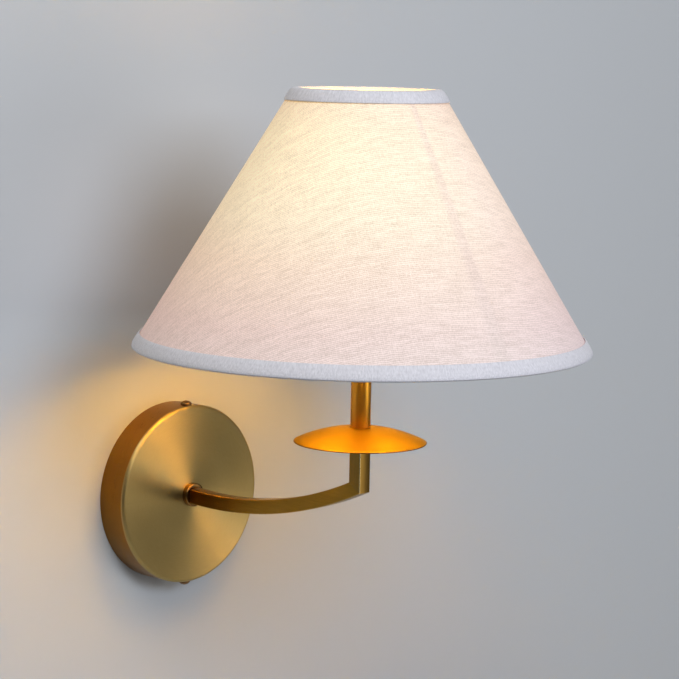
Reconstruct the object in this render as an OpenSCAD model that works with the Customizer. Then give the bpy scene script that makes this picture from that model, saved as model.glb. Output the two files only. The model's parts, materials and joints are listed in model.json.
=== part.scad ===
// Wall sconce: a curved square arm, turning in a round canopy, carries an upright lampholder
// with a bulb, a domed drip disc and a tapered cloth shade. Millimetres.
// X runs along the wall, -Y points out of the wall and Z is up. The origin is on the wall, at
// the centre of the canopy's back.

/* [Canopy] */
// Diameter of the round canopy
canopy_d = 120; // [112:1:140]
// How far the canopy stands out of the wall
canopy_depth = 23; // [22.5:0.5:30]
// Sheet thickness of the canopy
canopy_wall = 1.2; // [0.8:0.1:1.8]
// Radius of the canopy's rounded front edge
canopy_edge_r = 2.2; // [0.5:0.1:3]
// Distance of the two canopy screws from the wall
canopy_screw_out = 17; // [14:0.5:18]
// Clearance diameter of the screw holes in the canopy's rim
canopy_screw_hole_d = 4.6; // [4.3:0.1:5]
// Diameter of a canopy screw's head
canopy_screw_head_d = 7.6; // [6.5:0.1:8.5]
// Height of a canopy screw's head
canopy_screw_head_h = 2.9; // [2:0.1:3.5]
// Length of a canopy screw under its head
canopy_screw_length = 8; // [6:0.5:10]

/* [Crossbar] */
// Width of the crossbar and of its two ears
crossbar_w = 16; // [14:0.5:20]
// Thickness of the crossbar's steel strip
crossbar_t = 2; // [1.5:0.1:2.5]
// How far the ears stand out from the wall
ear_out = 20.5; // [20:0.1:21]
// Diameter of the hole in the middle of the crossbar
crossbar_hole_d = 10.5; // [8:0.5:12]
// Distance between the centres of the two wall slots
wall_slot_spacing = 79; // [74:1:82]
// Length of a wall slot, from end to end
wall_slot_length = 14; // [10:0.5:16]
// Width of a wall slot
wall_slot_w = 4.6; // [4:0.1:5.5]
// Distance of the earth screw below the middle
earth_screw_drop = 19; // [17:0.5:21]

/* [Swivel] */
// Thread diameter of the arm's hollow tail
tail_d = 10; // [9.5:0.1:10.5]
// Bore through the tail, for the leads
tail_bore = 6.8; // [6:0.1:7]
// Depth of the flat that keys the stop washer to the tail
tail_flat = 0.7; // [0.5:0.1:0.9]
// Diameter of the round collar in front of the canopy
collar_d = 16; // [15.5:0.1:19]
// Thickness of the collar
collar_t = 4; // [3.5:0.1:6]
// Radius of the collar's rounded lip
collar_lip_r = 0.8; // [0.4:0.1:1.2]
// Depth of the square socket in the collar that takes the arm
socket_depth = 2.5; // [2:0.1:3]
// Diameter of the plate that stiffens the canopy's face
plate_d = 42; // [38:1:44]
// Thickness of that plate
plate_t = 1.6; // [1.2:0.1:2]
// Diameter of the spring washer
spring_washer_d = 18; // [16:0.5:19]
// Sheet thickness of the spring washer
spring_washer_t = 0.5; // [0.4:0.05:0.7]
// Height of the spring washer's cone
spring_washer_cone = 0.4; // [0.3:0.05:0.6]
// Thickness of the stop washer
stop_washer_t = 1.2; // [1:0.1:1.6]
// Width of the stop washer's tab
stop_tab_w = 5; // [4:0.1:6]
// How far the tab reaches from the axis
stop_tab_reach = 18; // [17.5:0.1:20]
// Diameter of a stop pin
stop_pin_d = 3; // [2.5:0.1:3.5]
// How far each way the arm turns, in degrees
swivel_limit = 90; // [45:1:100]
// Width across the flats of the lock nut
lock_nut_af = 14; // [13:0.5:15]
// Thickness of the lock nut
lock_nut_t = 3.6; // [3:0.1:4]

/* [Arm] */
// Width of the square tube of the arm and post
bar_w = 9.4; // [8.8:0.1:10]
// Wall of the square tube
bar_wall = 1; // [0.8:0.05:1.2]
// Distance from the wall to the lamp's axis
reach = 178; // [175:0.5:200]
// Bend radius of the arm's centreline
arm_r = 316; // [300:1:360]
// Angle below level at which the arm leaves the canopy, in degrees
arm_dip = 4.3; // [2:0.1:6]
// Height of the post above the end of the arm
post_rise = 32.2; // [28:0.1:50]

/* [Stem] */
// Thread diameter of the hollow stud on the post
stud_d = 8; // [7.8:0.1:8.4]
// Bore through the stud, for the leads
stud_bore = 5.4; // [5:0.1:5.6]
// Height of the stud's square foot
stud_foot_h = 4; // [3:0.1:8]
// Diameter of the washer under the drip disc
disc_washer_d = 15; // [14:0.5:16.5]
// Thickness of that washer
disc_washer_t = 1; // [0.8:0.1:1.5]
// Diameter of the drip disc
disc_d = 83; // [70:1:110]
// Height of the disc's dome
disc_rise = 9.4; // [7:0.1:14]
// Sheet thickness of the disc
disc_t = 1; // [0.8:0.1:1.2]
// Height of the straight lip round the disc's edge
disc_lip = 0.5; // [0.3:0.1:2]
// How far the flat seat in the middle lies below the dome's full height
disc_seat_drop = 0.4; // [0.35:0.05:0.8]
// Diameter of the stem tube
stem_d = 12.7; // [11.5:0.1:14]
// Wall of the stem tube
stem_wall = 0.8; // [0.6:0.1:1.2]
// Length of the stem tube
stem_length = 48; // [40:0.5:70]

/* [Lampholder] */
// Diameter of the lampholder's cap and skirt
holder_d = 36; // [35.6:0.1:38]
// Wall of the cap and skirt
holder_wall = 1.5; // [1.2:0.1:1.8]
// Height of the cap
cap_h = 20; // [19:0.5:24]
// Thickness of the cap's threaded floor
cap_floor = 4.5; // [4:0.1:5]
// Height of the skirt above the cap, to its shade flange
skirt_h = 20; // [18:0.5:26]
// Diameter of the flange that the shade sits on
flange_d = 46; // [44:0.5:50]
// Thickness of that flange
flange_t = 1.6; // [1.2:0.1:2.5]
// Outer diameter of the skirt's shade thread
shade_thread_d = 39.5; // [39:0.1:40]
// Height of the shade thread above the flange
shade_thread_h = 16; // [12:0.5:17]
// Thickness of the contact block
block_t = 8; // [6:0.5:9]
// Distance of each terminal screw from the middle
terminal_offset = 9; // [8:0.1:10]
// Diameter of a terminal screw's head
terminal_head_d = 5; // [4.5:0.1:5.5]
// Height of a terminal screw's head
terminal_head_h = 2; // [1.5:0.1:2.5]
// Diameter of the shade ring nut
ring_nut_d = 47; // [46:0.5:50]
// Height of the shade ring nut
ring_nut_h = 6; // [5:0.5:9]
// Number of grip notches round the ring nut
ring_nut_notches = 24; // [12:1:30]

/* [Bulb] */
// Diameter over the bulb's thread
bulb_thread_d = 26.2; // [26:0.05:26.4]
// Pitch of the bulb's thread
bulb_pitch = 3.6; // [3.4:0.1:3.8]
// Length of the bulb from its tip to its top
bulb_length = 105; // [95:1:112]
// Diameter of the bulb's glass
bulb_d = 60; // [50:1:62]
// Thickness of the glass
glass_t = 0.8; // [0.6:0.1:1.2]

/* [Shade] */
// Diameter of the cone of cloth at its bottom edge
shade_bottom_d = 284; // [250:1:310]
// Diameter of the cone of cloth at its top edge
shade_top_d = 92; // [80:0.5:130]
// Height of the shade
shade_h = 159; // [150:1:180]
// Height of the fitter ring above the shade's bottom edge
shade_recess = 39; // [36:1:50]
// Thickness of the cloth
cloth_t = 0.5; // [0.4:0.05:0.8]
// Thickness of the stiff liner
liner_t = 0.5; // [0.3:0.05:0.8]
// Diameter of the frame's wire
wire_d = 3; // [2.5:0.1:3.5]
// Height of the bottom trim
bottom_trim_h = 8.4; // [7:0.1:14]
// Height of the top trim
top_trim_h = 7; // [6:0.1:12]
// Thickness of the trim tape
trim_t = 0.7; // [0.5:0.1:1]
// Width of the cloth's overlap at the bottom edge; it narrows upwards with the cone
seam_w = 9; // [8:0.5:16]
// Direction of the overlap, in degrees from +X
seam_angle = -102; // [-120:1:-60]
// Outer diameter of the fitter ring
fitter_d = 58; // [54:0.5:64]
// Thickness of the fitter ring
fitter_t = 1.6; // [1.5:0.1:2.5]
// Number of spokes between the fitter ring and the bottom wire
spokes = 3; // [3:1:4]

/* [Leads] */
// Diameter of an insulated lead
lead_d = 2.1; // [1.8:0.05:2.2]
// Diameter of a wire connector at its mouth
connector_d = 9; // [8:0.1:10]
// Length of a wire connector
connector_length = 18; // [14:0.5:20]

/* [Hidden] */
$fn = 96;

// Clearances
fit_gap = 0.05; // round parts that turn or screw into one another
face_gap = 0.1; // flat faces that slide over one another
loose_gap = 0.3; // parts that pass one another without touching
cut = 1; // how far a cutting shape runs past what it cuts

// Brass, steel and the rest
brass = "#b08d4a";
dark_brass = "#8a6a34";
steel = "#9a9da0";
black = "#2b2a29";
porcelain = "#ece8df";
cloth = "#eadfca";
tape = "#dcdadf";

// Canopy and crossbar
canopy_r = canopy_d / 2;
canopy_in_r = canopy_r - canopy_wall;
canopy_inner_edge_r = max(0, canopy_edge_r - canopy_wall);
ear_top = sqrt(pow(canopy_in_r, 2) - pow(crossbar_w / 2, 2)) - loose_gap;
machine_screw_d = 4;
driver_slot_w = 1;
driver_slot_depth = 1.1;
earth_head_d = 7;
earth_head_h = 2.4;
earth_washer_d = 9;
earth_washer_t = 0.8;
earth_screw_length = crossbar_t + earth_washer_t;
screw_fit = 2 * fit_gap; // how much thinner a screw is than its hole

// Swivel stack, as distances from the wall
face_back = canopy_depth - canopy_wall;
plate_back = face_back - plate_t;
spring_back = plate_back - fit_gap - spring_washer_t - spring_washer_cone;
stop_back = spring_back - stop_washer_t;
nut_back = stop_back - lock_nut_t;
tail_end = nut_back - 1.5;
pin_fit = 0.02; // how much thinner a stop pin is than its hole
collar_back = canopy_depth + fit_gap;
collar_front = collar_back + collar_t;
stop_washer_d = 17;
stop_circle_r = stop_tab_reach - stop_pin_d / 2;
stop_angle = swivel_limit + asin((stop_tab_w / 2 + stop_pin_d / 2 + face_gap) / stop_circle_r);

// Arm: an arc in the plane X = 0 that crosses the canopy's axis at the canopy's face
half_bar = bar_w / 2;
half_void = half_bar - bar_wall;
arm_start = collar_front - socket_depth;
arc_out = canopy_depth + arm_r * sin(arm_dip);
arc_up = arm_r * cos(arm_dip);
function arc_height(out, radius = arm_r) = arc_up - sqrt(radius * radius - pow(out - arc_out, 2));
mitre_outer = [reach + half_bar, arc_height(reach + half_bar, arm_r + half_bar)];
mitre_inner = [reach - half_bar, arc_height(reach - half_bar, arm_r - half_bar)];
mitre_run = mitre_outer - mitre_inner;

// Heights up the lamp's axis
post_top = arc_height(reach) + post_rise;
foot_top = post_top + stud_foot_h;
disc_under = foot_top + disc_washer_t;
disc_seat = disc_under + disc_t;
holder_foot = disc_seat + stem_length;
cap_top = holder_foot + cap_h;
flange_top = cap_top + skirt_h;
fitter_under = flange_top + face_gap;
ring_nut_under = fitter_under + fitter_t + face_gap;
shade_foot = fitter_under + fitter_t / 2 - shade_recess;

// Drip disc: a shallow dome with its sphere's centre on the lamp's axis
dome_r = (pow(disc_d / 2, 2) + pow(disc_rise, 2)) / (2 * disc_rise);
dome_centre = disc_seat + disc_seat_drop - dome_r;
disc_rim = disc_seat + disc_seat_drop - disc_rise;

// Lampholder
holder_in_r = holder_d / 2 - holder_wall;
cap_neck_r = 8;
cap_neck_h = 3;
cap_shoulder_h = 12;
cap_ledge = 1.5;
block_under = holder_foot + cap_h - 4;
block_top = block_under + block_t;
holder_nut_af = 12;
holder_nut_t = 2.5;
stud_top = holder_foot + cap_floor + holder_nut_t + 1;
terminal_hole_d = 3;
terminal_depth = 5;
contact_wall = 0.5;
contact_in_r = bulb_thread_d / 2 + face_gap;
contact_h = 24;
contact_floor_d = 14;
tongue_l = 8;
tongue_w = 4;
tongue_h = 3;
tongue_t = 0.5;
notch_d = 3;
notch_out = 0.5;

// Bulb, with heights above its tip
bulb_foot = block_top + tongue_h + fit_gap;
tip_h = 1.6;
tip_r = 4.5;
tip_foot_r = 3;
insulator_h = 5;
insulator_r = 10.5;
bulb_cap_h = 27;
ridges = 5;
ridge_r = 1.1;
first_ridge = 2.4;
neck_r = bulb_thread_d / 2 + 0.6;
glass_r = bulb_d / 2;
glass_centre = bulb_length - glass_r;
post_foot_r = 6;
post_foot_h = 12;
post_neck_r = 2.5;
post_r = 1.5;
post_h = 40;
filament_d = 1.6;
filament_l = 32;
filament_up = 18;
filament_out = 4;
filament_lean = 6;

// Shade, with heights above its bottom edge
shade_bottom_r = shade_bottom_d / 2;
shade_top_r = shade_top_d / 2;
shade_slope = (shade_bottom_r - shade_top_r) / shade_h;
slant = sqrt(1 + shade_slope * shade_slope);
glue_gap = 0.05;
liner_out = cloth_t + glue_gap;
liner_in = liner_out + liner_t;
wire_in = liner_in + glue_gap + wire_d;
wire_rise = trim_t + glue_gap + wire_d / 2;
function shade_r(up, inset = 0) = shade_bottom_r - shade_slope * up - inset * slant;
bottom_wire_r = shade_r(wire_rise, wire_in - wire_d / 2);
top_wire_r = shade_r(shade_h - wire_rise, wire_in - wire_d / 2);

// Route of the live lead: out of its connector, into the tail, along the arm and up the post.
// The neutral lead is its mirror image.
lead_side = 1.2; // the two leads lie side by side, this far from the middle
connector_in = 18; // distance of a connector's mouth from the swivel's axis
connector_out = 10.5; // distance of a connector from the wall
lead_grip = 5; // how far a lead goes into its connector
lead_steps = 12;
corner_blend = 6;
corner = [reach, arc_height(reach)];
corner_start = [reach - corner_blend, arc_height(reach - corner_blend)];
corner_end = [reach, corner[1] + corner_blend];
function on_arm(out) = [lead_side, -out, arc_height(out)];
function in_corner(t) = let (
    p = (1 - t) * (1 - t) * corner_start + 2 * t * (1 - t) * corner + t * t * corner_end
  ) [lead_side, -p[0], p[1]];
lead_route = concat(
  [[connector_in + lead_grip, -connector_out, 0], [connector_in, -connector_out, 0],
   [14, -9.5, 0], [10, -8, 0], [6, -7, 0], [3.5, -7.5, 0], [2, -9, 0],
   [lead_side, -(tail_end + 1), 0], [lead_side, -canopy_depth, 0]],
  [for (i = [1:lead_steps]) on_arm(canopy_depth
    + (reach - corner_blend - canopy_depth) * i / (lead_steps + 1))],
  [for (i = [0:4]) in_corner(i / 4)],
  [[lead_side, -reach, corner[1] + 20], [lead_side, -reach, disc_seat],
   [lead_side, -reach, stud_top - 4], [lead_side, -reach, stud_top],
   [2.5, -reach, stud_top + 1.6], [4.5, -reach, block_under - terminal_head_h / 2 - 0.4],
   [terminal_offset - terminal_head_d / 2, -reach, block_under - terminal_head_h / 2]]);

// ---------- Shared shapes ----------

// Turns a shape built along +Z so that it points out of the wall, its foot at a given distance
module out_of_wall(from_wall = 0) {
  translate([0, -from_wall, 0]) rotate([90, 0, 0]) children();
}

// Extrudes a side view, whose x is the distance from the wall and whose y is the height, along X
module from_side(width) {
  rotate([90, 0, -90]) linear_extrude(width, center = true) children();
}

// Moves a shape to the lamp's axis, at a given height
module on_lamp(height = 0) {
  translate([0, -reach, height]) children();
}

module ring(outer_d, inner_d, h) {
  difference() {
    cylinder(d = outer_d, h = h);
    translate([0, 0, -cut]) cylinder(d = inner_d, h = h + 2 * cut);
  }
}

module hex_nut(af, bore_d, h) {
  difference() {
    cylinder(d = af / cos(30), h = h, $fn = 6);
    translate([0, 0, -cut]) cylinder(d = bore_d, h = h + 2 * cut);
  }
}

// A slotted screw: a domed head standing on Z = 0 and a shank that hangs below it
module slotted_screw(head_d, head_h, shank_d, shank_l) {
  dome_drop = 0.65 * head_h;
  dome = (pow(head_d / 2, 2) + pow(dome_drop, 2)) / (2 * dome_drop);
  difference() {
    intersection() {
      cylinder(d = head_d, h = head_h);
      translate([0, 0, head_h - dome]) sphere(dome);
    }
    translate([-head_d, -driver_slot_w / 2, head_h - driver_slot_depth])
      cube([2 * head_d, driver_slot_w, head_h]);
  }
  translate([0, 0, -shank_l]) cylinder(d = shank_d, h = shank_l);
}

// A round tube of diameter d swept along a list of points
function sweep_dir(route, i) = let (
    last = len(route) - 1,
    v = route[min(i + 1, last)] - route[max(i - 1, 0)]
  ) v / norm(v);
function sweep_ring(route, i, d, sides) = let (
    t = sweep_dir(route, i),
    a = cross(t, [1, 1, 1]),
    u = a / norm(a),
    v = cross(t, u)
  ) [for (k = [0:sides - 1]) route[i] + d / 2 * (cos(360 * k / sides) * u + sin(360 * k / sides) * v)];
module swept_tube(route, d, sides = 10) {
  rings = len(route);
  points = [for (i = [0:rings - 1]) each sweep_ring(route, i, d, sides)];
  walls = [for (i = [0:rings - 2]) for (k = [0:sides - 1])
    [i * sides + k, (i + 1) * sides + k, (i + 1) * sides + (k + 1) % sides, i * sides + (k + 1) % sides]];
  foot = [for (k = [0:sides - 1]) k];
  top = [for (k = [0:sides - 1]) (rings - 1) * sides + sides - 1 - k];
  polyhedron(points, concat([foot, top], walls));
}

// ---------- On the wall ----------

// Slotted steel strip against the wall
module crossbar() {
  color(steel) difference() {
    translate([-crossbar_w / 2, -crossbar_t, -ear_top]) cube([crossbar_w, crossbar_t, 2 * ear_top]);
    out_of_wall(-cut) cylinder(d = crossbar_hole_d, h = crossbar_t + 2 * cut);
    for (side = [-1, 1]) translate([0, 0, side * wall_slot_spacing / 2]) wall_slot();
    translate([0, 0, -earth_screw_drop]) out_of_wall(-cut)
      cylinder(d = machine_screw_d, h = crossbar_t + 2 * cut);
  }
}

// The strip's two ends, bent forward, each with a tapped hole for a canopy screw
module crossbar_ears() {
  color(steel) difference() {
    for (side = [-1, 1])
      translate([-crossbar_w / 2, -ear_out, side * (ear_top - crossbar_t / 2) - crossbar_t / 2])
        cube([crossbar_w, ear_out - crossbar_t, crossbar_t]);
    translate([0, -canopy_screw_out, -canopy_d]) cylinder(d = machine_screw_d, h = 2 * canopy_d);
  }
}

module wall_slot() {
  run = wall_slot_length - wall_slot_w;
  for (end = [-1, 1]) translate([0, 0, end * run / 2]) out_of_wall(-cut)
    cylinder(d = wall_slot_w, h = crossbar_t + 2 * cut);
  translate([-wall_slot_w / 2, -crossbar_t - cut, -run / 2]) cube([wall_slot_w, crossbar_t + 2 * cut, run]);
}

// Half the section of a round block whose front edge has a radius
module rounded_profile(r, depth, edge) {
  square([r - edge, depth]);
  square([r, depth - edge]);
  if (edge > 0) translate([r - edge, depth - edge]) circle(edge);
}

// Shallow spun cup, open to the wall
module canopy() {
  color(brass) difference() {
    out_of_wall() rotate_extrude($fn = 180) difference() {
      rounded_profile(canopy_r, canopy_depth, canopy_edge_r);
      rounded_profile(canopy_in_r, face_back, canopy_inner_edge_r);
      square([tail_d / 2 + fit_gap, canopy_depth + cut]);
    }
    translate([0, -canopy_screw_out, -canopy_d])
      cylinder(d = canopy_screw_hole_d, h = 2 * canopy_d);
  }
}

// Two screws, at the top and the bottom of the rim, that hold the canopy on the crossbar's ears
module canopy_screws() {
  color(dark_brass) for (turn = [0, 180]) rotate([0, turn, 0]) translate([0, -canopy_screw_out, canopy_r])
    slotted_screw(canopy_screw_head_d, canopy_screw_head_h, machine_screw_d - screw_fit,
      canopy_screw_length);
}

module earth_screw() {
  color("#5f8f4f") translate([0, 0, -earth_screw_drop]) out_of_wall(crossbar_t + earth_washer_t)
    slotted_screw(earth_head_d, earth_head_h, machine_screw_d - screw_fit, earth_screw_length);
}

module earth_washer() {
  color(steel) translate([0, 0, -earth_screw_drop]) out_of_wall(crossbar_t)
    ring(earth_washer_d, machine_screw_d + loose_gap, earth_washer_t);
}

// Steel disc behind the canopy's thin face, which takes the arm's pull
module stiffening_plate() {
  color(steel) out_of_wall(plate_back) difference() {
    ring(plate_d, tail_d + 2 * fit_gap, plate_t);
    for (side = [-1, 1]) rotate([0, 0, -90 + side * stop_angle]) translate([stop_circle_r, 0, -cut])
      cylinder(d = stop_pin_d, h = plate_t + 2 * cut);
  }
}

// Two pins in the plate that the stop washer's tab meets at the ends of the arm's travel
module stop_pins() {
  color(steel) out_of_wall(stop_back) for (side = [-1, 1])
    rotate([0, 0, -90 + side * stop_angle]) translate([stop_circle_r, 0, 0])
      cylinder(d = stop_pin_d - pin_fit, h = face_back - stop_back);
}

// ---------- Swivel and arm ----------

// Round collar with a hollow threaded tail that turns in the canopy's face
module arm_collar() {
  lip = collar_front - collar_lip_r;
  color(brass) difference() {
    out_of_wall() rotate_extrude() {
      translate([0, collar_back]) square([collar_d / 2 - collar_lip_r, collar_t]);
      translate([0, collar_back]) square([collar_d / 2, collar_t - collar_lip_r]);
      translate([collar_d / 2 - collar_lip_r, lip]) circle(collar_lip_r, $fn = 48);
      translate([0, tail_end]) square([tail_d / 2, collar_back - tail_end + cut]);
    }
    out_of_wall(tail_end - cut) cylinder(d = tail_bore, h = collar_front - tail_end + 2 * cut);
    translate([-tail_d, -plate_back + fit_gap, tail_d / 2 - tail_flat])
      cube([2 * tail_d, plate_back, tail_d]);
    from_side(bar_w) intersection() {
      arm_band(half_bar);
      translate([arm_start, -bar_w]) square([collar_t, 2 * bar_w]);
    }
  }
}

// Coned washer that keeps the swivel tight enough to stay where it is put
module spring_washer() {
  in_r = tail_d / 2 + loose_gap;
  out_r = spring_washer_d / 2;
  color(steel) out_of_wall(spring_back) rotate_extrude() polygon([
    [in_r, spring_washer_cone], [out_r, 0],
    [out_r, spring_washer_t], [in_r, spring_washer_cone + spring_washer_t]
  ]);
}

// Washer keyed to the tail, whose tab meets the stop pins
module stop_washer() {
  flat = tail_d / 2 - tail_flat;
  color(steel) out_of_wall(stop_back) difference() {
    union() {
      cylinder(d = stop_washer_d, h = stop_washer_t);
      translate([-stop_tab_w / 2, -stop_tab_reach, 0]) cube([stop_tab_w, stop_tab_reach, stop_washer_t]);
    }
    intersection() {
      translate([0, 0, -cut]) cylinder(d = tail_d + 2 * fit_gap, h = stop_washer_t + 2 * cut);
      translate([-tail_d, flat + fit_gap - 2 * tail_d, -cut])
        cube([2 * tail_d, 2 * tail_d, stop_washer_t + 2 * cut]);
    }
  }
}

module lock_nut() {
  color(steel) out_of_wall(nut_back) hex_nut(lock_nut_af, tail_d + 2 * fit_gap, lock_nut_t);
}

// The strip of the side view that lies within a half width of the arm's arc
module arm_band(half) {
  translate([arc_out, arc_up]) difference() {
    circle(arm_r + half, $fn = 360);
    circle(arm_r - half, $fn = 360);
  }
}

// Square tube, bent upwards, brazed into the collar and mitred to the post
module arm_tube() {
  color(brass) difference() {
    from_side(bar_w) intersection() {
      arm_band(half_bar);
      polygon([[arm_start, -3 * bar_w], mitre_outer + 2 * mitre_run,
        mitre_inner - 2 * mitre_run, [arm_start, 3 * bar_w]]);
    }
    from_side(2 * half_void) intersection() {
      arm_band(half_void);
      translate([0, -reach]) square([2 * reach, 2 * reach]);
    }
  }
}

// Upright square tube that stands on the arm's mitred end
module post_tube() {
  color(brass) difference() {
    from_side(bar_w) polygon([mitre_inner, mitre_outer,
      [reach + half_bar, post_top], [reach - half_bar, post_top]]);
    on_lamp(mitre_outer[1] - bar_w)
      linear_extrude(post_top) square(2 * half_void, center = true);
  }
}

// ---------- Stem and drip disc ----------

// Square foot brazed on the post, with a hollow threaded stud that clamps disc, tube and lampholder
module stem_stud() {
  color(dark_brass) on_lamp(post_top) difference() {
    union() {
      translate([-half_bar, -half_bar, 0]) cube([bar_w, bar_w, stud_foot_h]);
      cylinder(d = stud_d, h = stud_top - post_top);
    }
    translate([0, 0, -cut]) cylinder(d = stud_bore, h = stud_top - post_top + 2 * cut);
  }
}

module disc_washer() {
  color(steel) on_lamp(foot_top) ring(disc_washer_d, stud_d + 2 * fit_gap, disc_washer_t);
}

// Thin domed disc with a flat seat in the middle and a short straight lip
module drip_disc() {
  color(brass) on_lamp() rotate_extrude($fn = 180) difference() {
    union() {
      dome_half(dome_r, disc_seat);
      translate([0, disc_rim - disc_lip]) square([disc_d / 2, disc_lip]);
    }
    dome_half(dome_r - disc_t, disc_under);
    translate([0, disc_rim - disc_lip - cut]) square([disc_d / 2 - disc_t, disc_lip + cut]);
    translate([0, disc_rim]) square([stud_d / 2 + fit_gap, 2 * disc_rise]);
  }
}

// Half profile of the dome: inside a circle, above the rim and below a flat top
module dome_half(radius, flat_top) {
  intersection() {
    translate([0, dome_centre]) circle(radius, $fn = 360);
    translate([0, disc_rim]) square([disc_d, flat_top - disc_rim]);
  }
}

module stem_tube() {
  color(brass) on_lamp(disc_seat) ring(stem_d, stem_d - 2 * stem_wall, stem_length);
}

// ---------- Lampholder ----------

// Moulded cup, screwed on the stud
module holder_cap() {
  r = holder_d / 2;
  color(black) on_lamp(holder_foot) rotate_extrude() polygon([
    [stud_d / 2 + fit_gap, 0], [cap_neck_r, 0], [cap_neck_r, cap_neck_h],
    [r, cap_shoulder_h], [r, cap_h], [holder_in_r, cap_h], [holder_in_r, block_under - holder_foot],
    [holder_in_r - cap_ledge, block_under - holder_foot], [holder_in_r - cap_ledge, cap_shoulder_h],
    [cap_neck_r - 0.5, cap_floor], [stud_d / 2 + fit_gap, cap_floor]
  ]);
}

module holder_nut() {
  color(steel) on_lamp(holder_foot + cap_floor) hex_nut(holder_nut_af, stud_d + 2 * fit_gap, holder_nut_t);
}

// Porcelain block that carries the contacts
module contact_block() {
  color(porcelain) on_lamp(block_under) difference() {
    cylinder(r = holder_in_r - fit_gap, h = block_t);
    for (side = [-1, 1]) translate([side * terminal_offset, 0, -cut])
      cylinder(d = terminal_hole_d, h = terminal_depth + cut);
  }
}

// Threaded brass sleeve that takes the bulb's cap
module screw_contact() {
  color(brass) on_lamp(block_top) difference() {
    cylinder(r = contact_in_r + contact_wall, h = contact_h);
    translate([0, 0, contact_wall]) cylinder(r = contact_in_r, h = contact_h);
    translate([0, 0, -cut]) cylinder(d = contact_floor_d, h = contact_h);
  }
}

// Springy tongue under the bulb's tip
module centre_contact() {
  color(brass) on_lamp(block_top) translate([-tongue_l / 2, -tongue_w / 2, 0]) {
    cube([tongue_l, tongue_w, tongue_t]);
    cube([tongue_t, tongue_w, tongue_h]);
    translate([0, 0, tongue_h - tongue_t]) cube([tongue_l, tongue_w, tongue_t]);
  }
}

module terminal_screws() {
  color(dark_brass) on_lamp(block_under) for (side = [-1, 1])
    translate([side * terminal_offset, 0, 0]) rotate([180, 0, 90])
      slotted_screw(terminal_head_d, terminal_head_h, terminal_hole_d - screw_fit, terminal_depth);
}

// Moulded skirt with a flange and a coarse outer thread for the shade
module holder_skirt() {
  color(black) on_lamp(cap_top) difference() {
    union() {
      cylinder(d = holder_d, h = skirt_h);
      translate([0, 0, skirt_h - flange_t]) cylinder(d = flange_d, h = flange_t);
      translate([0, 0, skirt_h]) cylinder(d = shade_thread_d, h = shade_thread_h);
    }
    translate([0, 0, -cut]) cylinder(r = holder_in_r - cap_ledge, h = skirt_h + shade_thread_h + 2 * cut);
    translate([0, 0, -cut]) cylinder(r = holder_in_r, h = block_top - cap_top + cut);
    translate([0, 0, block_top - cap_top + cap_ledge])
      cylinder(r = holder_in_r, h = skirt_h + shade_thread_h);
  }
}

// Notched ring nut that holds the shade down on the flange
module shade_ring_nut() {
  color(black) on_lamp(ring_nut_under) difference() {
    ring(ring_nut_d, shade_thread_d + 2 * fit_gap, ring_nut_h);
    for (i = [0:ring_nut_notches - 1]) rotate([0, 0, 360 * i / ring_nut_notches])
      translate([ring_nut_d / 2 + notch_out, 0, -cut])
        cylinder(d = notch_d, h = ring_nut_h + 2 * cut, $fn = 24);
  }
}

// ---------- Leads ----------

module live_lead() {
  color("#7a4a2a") swept_tube(lead_route, lead_d);
}

module neutral_lead() {
  color("#3f6f9f") mirror([1, 0, 0]) swept_tube(lead_route, lead_d);
}

// Closed-end caps on the supply ends of the leads
module wire_connectors() {
  wall = 1.2;
  taper = 0.7;
  rim = 2;
  color("#d9a441") for (side = [0, 1]) mirror([side, 0, 0])
    translate([connector_in, -connector_out, 0]) rotate([0, 90, 0]) difference() {
      cylinder(d1 = connector_d, d2 = taper * connector_d, h = connector_length);
      translate([0, 0, -cut]) cylinder(d = lead_d, h = lead_grip + cut);
      translate([0, 0, -cut]) cylinder(d = connector_d - 2 * wall, h = rim + cut);
    }
}

// ---------- Bulb ----------

module on_bulb(up = 0) {
  on_lamp(bulb_foot + up) children();
}

// Thin screw cap with rolled thread ridges
module bulb_cap() {
  core = bulb_thread_d / 2 - ridge_r;
  color(brass) on_bulb() rotate_extrude() difference() {
    union() {
      translate([0, insulator_h]) square([core, bulb_cap_h - insulator_h]);
      for (i = [0:ridges - 1]) translate([core, insulator_h + first_ridge + i * bulb_pitch])
        circle(ridge_r, $fn = 32);
    }
    translate([0, insulator_h - cut]) square([core - contact_wall, bulb_cap_h]);
  }
}

module bulb_insulator() {
  color(black) on_bulb(tip_h) cylinder(r1 = tip_r, r2 = insulator_r, h = insulator_h - tip_h);
}

module bulb_tip() {
  color(steel) on_bulb() cylinder(r1 = tip_foot_r, r2 = tip_r, h = tip_h);
}

// Half profile of the glass: a neck that runs tangent into a sphere
module glass_half(neck, radius) {
  gap = norm([neck, glass_centre - bulb_cap_h]);
  run = sqrt(gap * gap - radius * radius);
  heading = atan2(glass_centre - bulb_cap_h, -neck) - asin(radius / gap);
  touch = [neck + run * cos(heading), bulb_cap_h + run * sin(heading)];
  intersection() {
    translate([0, glass_centre]) circle(radius, $fn = 180);
    translate([0, touch[1]]) square([radius, bulb_length]);
  }
  polygon([[0, bulb_cap_h], [neck, bulb_cap_h], touch, [0, touch[1]]]);
}

module bulb_glass() {
  color("white") on_bulb() rotate_extrude() difference() {
    glass_half(neck_r, glass_r);
    difference() {
      glass_half(neck_r - glass_t, glass_r - glass_t);
      square([bulb_d, bulb_cap_h + glass_t]);
    }
  }
}

// Glass post inside the bulb
module bulb_stem() {
  color(porcelain) on_bulb(bulb_cap_h + glass_t) {
    cylinder(r1 = post_foot_r, r2 = post_neck_r, h = post_foot_h);
    cylinder(r = post_r, h = post_h);
  }
}

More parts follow.
